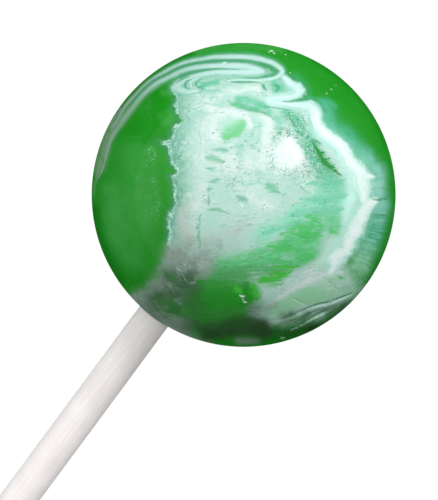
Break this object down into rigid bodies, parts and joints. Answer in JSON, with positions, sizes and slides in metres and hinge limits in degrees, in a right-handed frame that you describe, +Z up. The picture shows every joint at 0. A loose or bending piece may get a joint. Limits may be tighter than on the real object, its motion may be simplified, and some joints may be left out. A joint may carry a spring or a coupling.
{
  "type": "swirl lollipop",
  "caption": "Ball of glossy green and white swirled hard candy on a straight white paper stick, lying on its side.",
  "frame": {"origin": "on the table, under the middle of the bounding box of the whole lollipop", "axes": "+X from the stick's tip towards the ball, +Z up off the table that the ball and the stick's tip rest on, +Y to the left of somebody looking along +X"},
  "size_m": [0.1132, 0.034, 0.0337],
  "materials": {
    "candy": "glossy, slightly translucent boiled sugar, swirled green, mint and white",
    "stick": "matt rolled white paper"
  },
  "bodies": {
    "root": {"candy": "candy", "stick": "stick"}
  },
  "joints": []
}
